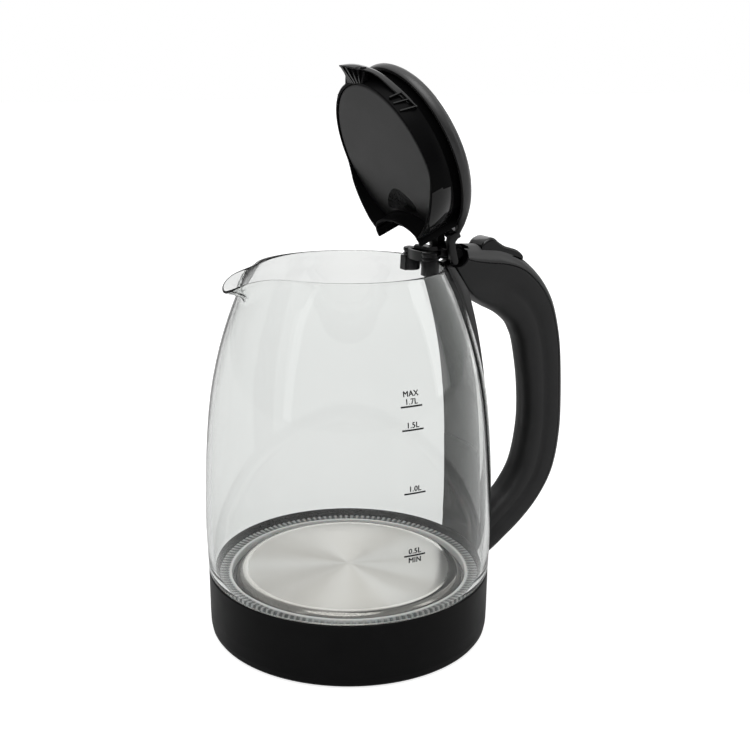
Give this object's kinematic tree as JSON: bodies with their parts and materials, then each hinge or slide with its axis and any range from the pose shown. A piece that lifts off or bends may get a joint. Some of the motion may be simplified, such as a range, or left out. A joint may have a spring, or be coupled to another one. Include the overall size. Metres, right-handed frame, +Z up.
{
  "type": "electric kettle",
  "caption": "Cordless electric kettle: clear glass jug with a pulled spout on a round black base, black loop handle, push-button lid hinged at the handle and standing open.",
  "frame": {"origin": "the jug's axis at the plane the feet stand on", "axes": "+Z up along the jug's axis, +X toward the handle, spout toward -X, symmetric about the XZ plane"},
  "size_m": [0.2125, 0.1536, 0.3001],
  "materials": {
    "aluminium": "cast",
    "bimetal": "snap disc",
    "black_plastic": "satin black, fine texture",
    "bond_pad": "cured adhesive",
    "brass": "stamped",
    "brushed_stainless": "radial brushed",
    "cap_black": "satin charcoal",
    "ceramic": "unglazed",
    "clear_glass": "clear, fire polished",
    "element_steel": "oxidised steel sheath",
    "foot_rubber": "matte",
    "gloss_black": "polished black",
    "grey_silicone": "satin translucent grey",
    "handle_black": "matte black",
    "inner_plastic": "moulded",
    "plated_steel": "zinc plated",
    "spine_black": "satin black",
    "tube_silicone": "milky",
    "wire": "heat resistant sleeve"
  },
  "bodies": {
    "kettle": {"glass_jug": "clear_glass", "seal_ring": "grey_silicone", "heating_plate": "brushed_stainless", "heat_spreader": "aluminium", "heater_element": "element_steel", "element_terminals": "brass", "base_frame": "inner_plastic", "collar": "black_plastic", "bottom_cover": "black_plastic", "feet": "foot_rubber", "base_screws": "plated_steel", "coupler_socket": "inner_plastic", "bimetal_discs": "bimetal", "thermal_cutout": "ceramic", "steam_switch": "inner_plastic", "steam_tube": "tube_silicone", "inner_wires": "wire", "handle_shell": "handle_black", "handle_spine": "spine_black", "handle_strip": "spine_black", "upper_bond_pad": "bond_pad", "lower_bond_pad": "bond_pad", "handle_chassis": "plated_steel", "hinge_bracket": "black_plastic", "hinge_pin": "plated_steel", "lid_spring": "plated_steel", "button_spring": "plated_steel", "handle_screws": "plated_steel", "switch_spring": "plated_steel"},
    "lid": {"lid_cap": "cap_black", "lid_liner": "gloss_black", "lid_plate": "gloss_black", "lid_strainer": "gloss_black", "lid_tabs": "gloss_black", "lid_hinge_arms": "black_plastic", "lid_screws": "plated_steel"},
    "button": {"release_button": "gloss_black"},
    "catch": {"lid_catch": "inner_plastic"},
    "lever": {"switch_lever": "gloss_black"}
  },
  "joints": [
    {"name": "lid_hinge", "type": "hinge", "parent": "kettle", "child": "lid", "pos_m": [0.0604, 0, 0.2012], "axis": [0, 1, 0], "range_deg": [-66, 0], "stiffness_Nm_per_rad": 0.03, "springref_deg": 51.57},
    {"name": "button_press", "type": "slide", "parent": "kettle", "child": "button", "axis": [0, 0, -1], "range_m": [0, 0.003], "stiffness_N_per_m": 400, "springref_m": -0.002, "deforming": ["button_spring"]},
    {"name": "catch_slide", "type": "slide", "parent": "kettle", "child": "catch", "axis": [1, 0, 0], "range_m": [0, 0.0024]},
    {"name": "switch_rock", "type": "hinge", "parent": "kettle", "child": "lever", "pos_m": [0.0634, 0, 0.012], "axis": [0, 1, 0], "range_deg": [0, 14]}
  ],
  "couplings": [
    {"joint": "catch_slide", "follows": "button_press", "ratio": 0.8}
  ]
}
